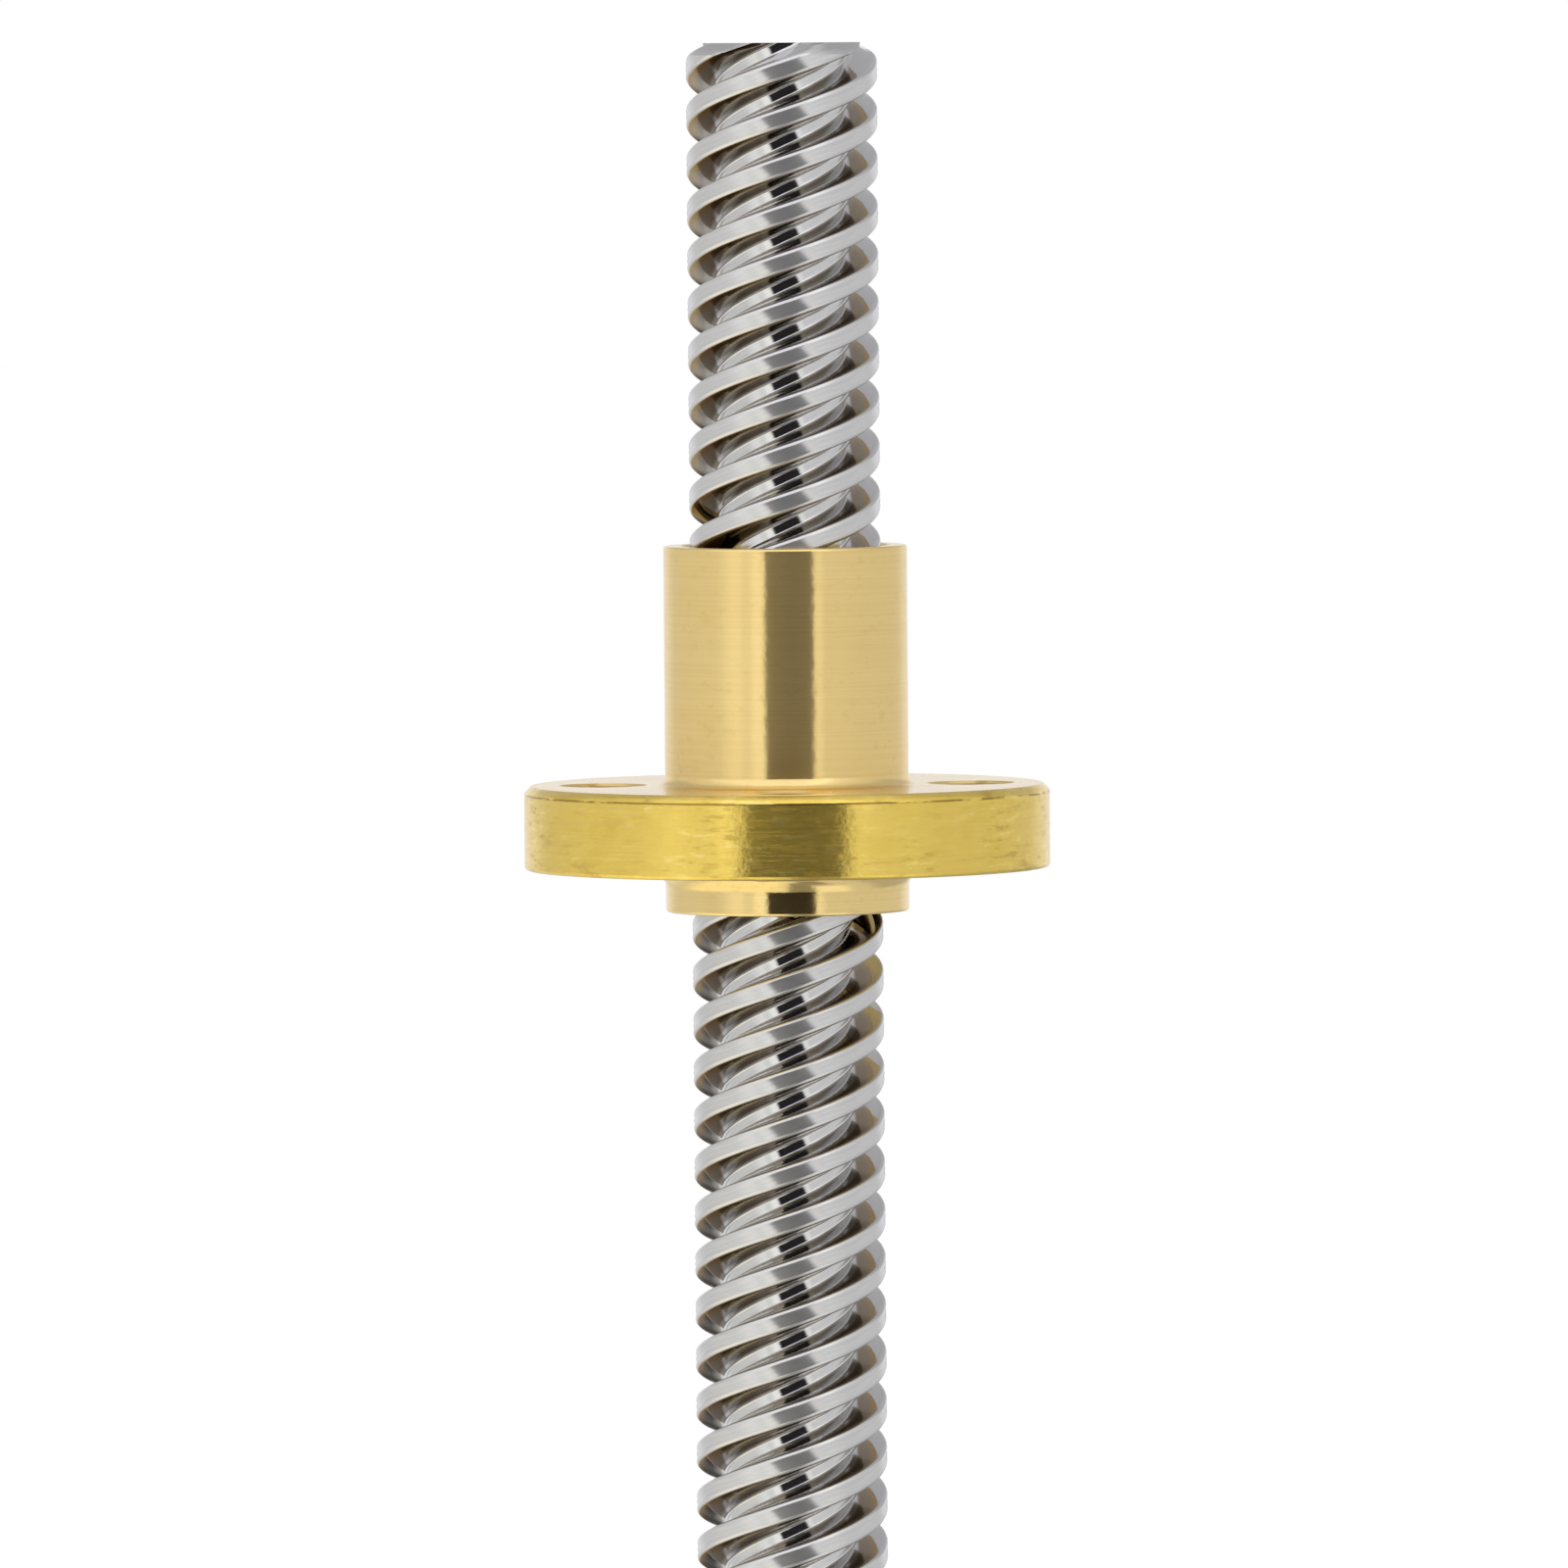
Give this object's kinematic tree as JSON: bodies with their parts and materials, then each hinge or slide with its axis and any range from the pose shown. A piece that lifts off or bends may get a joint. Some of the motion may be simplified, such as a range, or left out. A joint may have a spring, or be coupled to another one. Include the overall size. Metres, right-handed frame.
{
  "type": "stepper motor with lead screw",
  "caption": "Square hybrid stepper motor whose shaft is a multi-start trapezoidal lead screw, driving a flanged brass nut along the screw.",
  "frame": {"origin": "on the screw's axis, in the plane of the motor's mounting face", "axes": "+Z along the screw towards its free end; the connector leaves the motor towards -Y; X completes a right-handed frame"},
  "size_m": [0.0424, 0.0461, 0.134],
  "materials": {
    "cap_aluminium": "die cast, lightly bead blasted",
    "zinc_steel": "zinc plated",
    "lamination_steel": "black varnished edges of stacked electrical steel",
    "bobbin_plastic": "moulded",
    "enamelled_wire": "enamelled winding wire",
    "enamelled_wire_b": "enamelled winding wire",
    "board": "glass-fibre circuit board",
    "connector_plastic": "moulded",
    "pin_metal": "tinned",
    "rotor_steel": "ground tooth tops",
    "magnet": "sintered",
    "spacer_brass": "turned",
    "race_steel": "ground bearing steel",
    "ball_steel": "polished",
    "cage_plastic": "moulded nylon",
    "shield_steel": "pressed sheet",
    "spring_steel": "spring temper",
    "screw_steel": "rolled and polished",
    "nut_brass": "turned, fine lathe marks"
  },
  "bodies": {
    "motor": {"front_end_cap": "cap_aluminium", "rear_end_cap": "cap_aluminium", "housing_screws": "zinc_steel", "stator_laminations": "lamination_steel", "front_insulator": "bobbin_plastic", "rear_insulator": "bobbin_plastic", "phase_a_coils": "enamelled_wire", "phase_b_coils": "enamelled_wire_b", "terminal_board": "board", "connector_housing": "connector_plastic", "connector_pins": "pin_metal", "front_bearing_outer_race": "race_steel", "front_bearing_shields": "shield_steel", "rear_bearing_outer_race": "race_steel", "rear_bearing_shields": "shield_steel", "wave_washer": "spring_steel"},
    "screw": {"lead_screw": "screw_steel", "front_rotor_cup": "rotor_steel", "rear_rotor_cup": "rotor_steel", "rotor_magnet": "magnet", "front_rotor_spacer": "spacer_brass", "rear_rotor_spacer": "spacer_brass", "front_bearing_inner_race": "race_steel", "rear_bearing_inner_race": "race_steel"},
    "front_ball_set": {"front_bearing_balls": "ball_steel", "front_bearing_cage": "cage_plastic"},
    "rear_ball_set": {"rear_bearing_balls": "ball_steel", "rear_bearing_cage": "cage_plastic"},
    "nut": {"flange_nut": "nut_brass"}
  },
  "joints": [
    {"name": "nut_travel", "type": "slide", "parent": "motor", "child": "nut", "axis": [0, 0, 1], "range_m": [-0.0608, 0.0208]},
    {"name": "screw_turn", "type": "hinge", "parent": "motor", "child": "screw", "pos_m": [0, 0, 0], "axis": [0, 0, 1], "range_deg": [-937, 2737]},
    {"name": "front_ball_orbit", "type": "hinge", "parent": "motor", "child": "front_ball_set", "pos_m": [0, 0, -0.0019], "axis": [0, 0, 1], "range_deg": [-345, 1005]},
    {"name": "rear_ball_orbit", "type": "hinge", "parent": "motor", "child": "rear_ball_set", "pos_m": [0, 0, -0.0297], "axis": [0, 0, 1], "range_deg": [-345, 1005]}
  ],
  "couplings": [
    {"joint": "screw_turn", "follows": "nut_travel", "rad_per_m": -785.4},
    {"joint": "front_ball_orbit", "follows": "nut_travel", "rad_per_m": -287.98},
    {"joint": "rear_ball_orbit", "follows": "nut_travel", "rad_per_m": -287.98}
  ]
}
